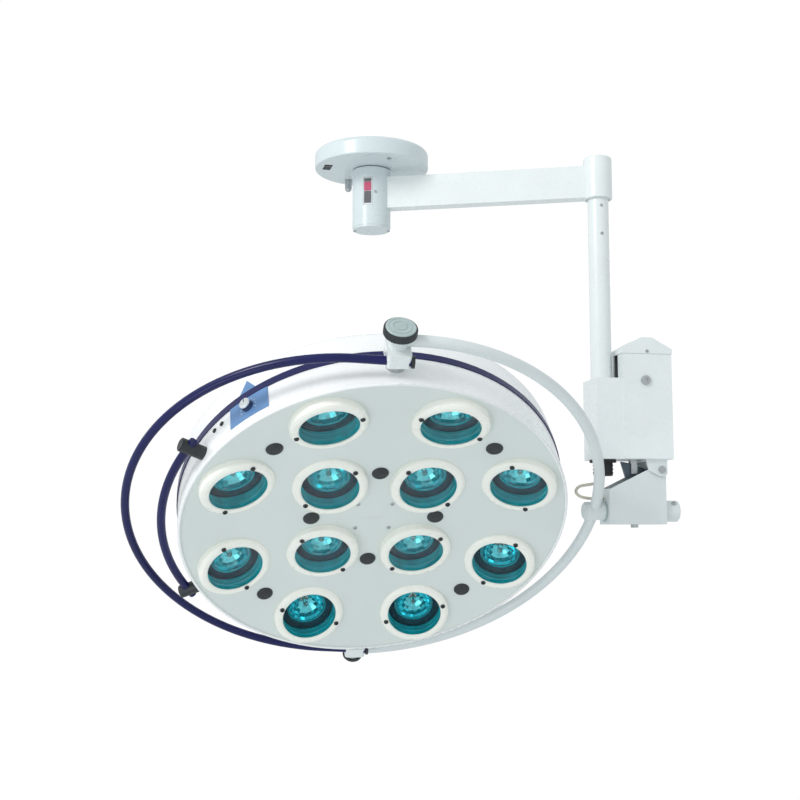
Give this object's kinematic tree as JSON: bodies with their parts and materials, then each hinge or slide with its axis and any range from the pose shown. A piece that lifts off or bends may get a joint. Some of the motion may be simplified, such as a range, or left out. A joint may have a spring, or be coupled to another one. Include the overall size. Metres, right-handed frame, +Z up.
{
  "type": "ceiling operating light",
  "caption": "Ceiling-hung surgical or dental light: round dished multi-lamp head in a rolling yoke ring with a handle rail, on a balanced drop tube and swivel arm.",
  "frame": {"origin": "centre of the ceiling plate's top face, where it meets the ceiling", "axes": "+Z up, +X along the swivel arm from the stem to the drop tube, as stored"},
  "size_m": [0.9907, 0.6588, 1.0214],
  "materials": {
    "white_enamel": "gloss powder coat",
    "grey_enamel": "satin light grey paint",
    "face_enamel": "satin pale grey paint",
    "navy_enamel": "gloss navy paint",
    "bare_steel": "ground steel",
    "zinc_steel": "zinc plated",
    "spring_steel": "oil-tempered steel",
    "cast_aluminium": "sand cast",
    "dark_steel": "blackened",
    "bronze": "sintered",
    "black_plastic": "satin moulded",
    "white_plastic": "smooth moulded",
    "ivory_plastic": "smooth moulded",
    "blue_label": "printed foil",
    "window_frame": "smooth moulded",
    "teal_glass": "heat filter glass",
    "bulb_glass": "clear",
    "reflector_mirror": "polished",
    "cup_paint": "satin grey paint",
    "ceramic": "glazed",
    "cable_sheath": "smooth PVC",
    "gland_rubber": "matt"
  },
  "bodies": {
    "ceiling_mount": {"mounting_flange": "zinc_steel", "spindle": "bare_steel", "canopy_cover": "white_enamel", "canopy_screws": "zinc_steel", "terminal_block": "ceramic", "retaining_nut": "zinc_steel", "stop_pin": "zinc_steel", "switch_body": "black_plastic"},
    "switch": {"switch_paddle": "black_plastic"},
    "arm": {"stem_sleeve": "white_enamel", "stem_bearings": "bare_steel", "stem_cap": "grey_enamel", "stem_screws": "zinc_steel", "stem_window": "window_frame", "arm_beam": "white_enamel", "arm_collar": "white_enamel", "collar_cap": "white_enamel", "drop_bushes": "white_plastic"},
    "drop": {"drop_tube": "white_enamel", "core_casting": "cast_aluminium", "balance_housing": "white_enamel", "front_cover": "white_enamel", "roof_cap": "white_enamel", "box_screws": "zinc_steel", "cable_gland": "gland_rubber", "hinge_bracket": "grey_enamel", "hinge_pin": "bare_steel", "balance_spring": "spring_steel", "loop_cable": "cable_sheath"},
    "balance_rod": {"spring_rod": "bare_steel"},
    "swing": {"swing_channel": "grey_enamel", "crank_lever": "dark_steel", "shaft_bushes": "bronze", "brake_hub": "grey_enamel", "swing_screws": "zinc_steel"},
    "yoke": {"yoke_shaft": "bare_steel", "yoke_knuckle": "grey_enamel", "yoke_ring": "grey_enamel", "pivot_blocks": "white_enamel", "pivot_bushes": "bronze", "handle_rail": "navy_enamel", "end_caps": "black_plastic"},
    "lock": {"lock_knob": "white_plastic"},
    "head": {"face_plate": "face_enamel", "front_shell": "white_enamel", "rear_cover": "white_enamel", "trim_band": "navy_enamel", "cross_frame": "zinc_steel", "lamp_bezels": "ivory_plastic", "filter_glasses": "teal_glass", "lamp_cups": "cup_paint", "reflectors": "reflector_mirror", "bulbs": "bulb_glass", "lamp_sockets": "ceramic", "face_screws": "black_plastic", "hole_plugs": "black_plastic", "side_grip": "navy_enamel", "grip_posts": "black_plastic", "control_panel": "blue_label"},
    "dimmer": {"dimmer_knob": "white_plastic"}
  },
  "joints": [
    {"name": "switch_rock", "type": "hinge", "parent": "ceiling_mount", "child": "switch", "pos_m": [-0.08157, -0.03804, -0.028], "axis": [-0.9063, -0.4226, 0], "range_deg": [-8, 8]},
    {"name": "arm_swivel", "type": "hinge", "parent": "ceiling_mount", "child": "arm", "pos_m": [0, 0, -0.087], "axis": [0, 0, 1], "range_deg": [-205, 122]},
    {"name": "drop_swivel", "type": "hinge", "parent": "arm", "child": "drop", "pos_m": [0.448, 0, -0.083], "axis": [0, 0, 1], "range_deg": [-150, 150]},
    {"name": "height_swing", "type": "hinge", "parent": "drop", "child": "swing", "pos_m": [0.54454, 0.0359, -0.643], "axis": [-0.3486, 0.9373, 0], "range_deg": [-20, 12], "deforming": ["loop_cable"]},
    {"name": "balance_travel", "type": "slide", "parent": "drop", "child": "balance_rod", "axis": [0, 0, 1], "range_m": [-0.0165, 0.0105], "deforming": ["balance_spring"]},
    {"name": "yoke_roll", "type": "hinge", "parent": "swing", "child": "yoke", "pos_m": [0.448, 0, -0.72], "axis": [0.9373, 0.3486, 0], "range_deg": [-18, 86]},
    {"name": "head_turn", "type": "hinge", "parent": "yoke", "child": "head", "pos_m": [0.03751, -0.15266, -0.72612], "axis": [-0.2516, 0.703, -0.6652], "range_deg": [-135, 135]},
    {"name": "lock_turn", "type": "hinge", "parent": "head", "child": "lock", "pos_m": [0.14316, -0.44794, -0.44675], "axis": [0.2516, -0.703, 0.6652], "range_deg": [-180, 180]},
    {"name": "dimmer_turn", "type": "hinge", "parent": "head", "child": "dimmer", "pos_m": [-0.11953, -0.42333, -0.55221], "axis": [-0.4387, -0.7561, 0.4858], "range_deg": [0, 270]}
  ],
  "couplings": [
    {"joint": "balance_travel", "follows": "height_swing", "m_per_rad": 0.045}
  ]
}
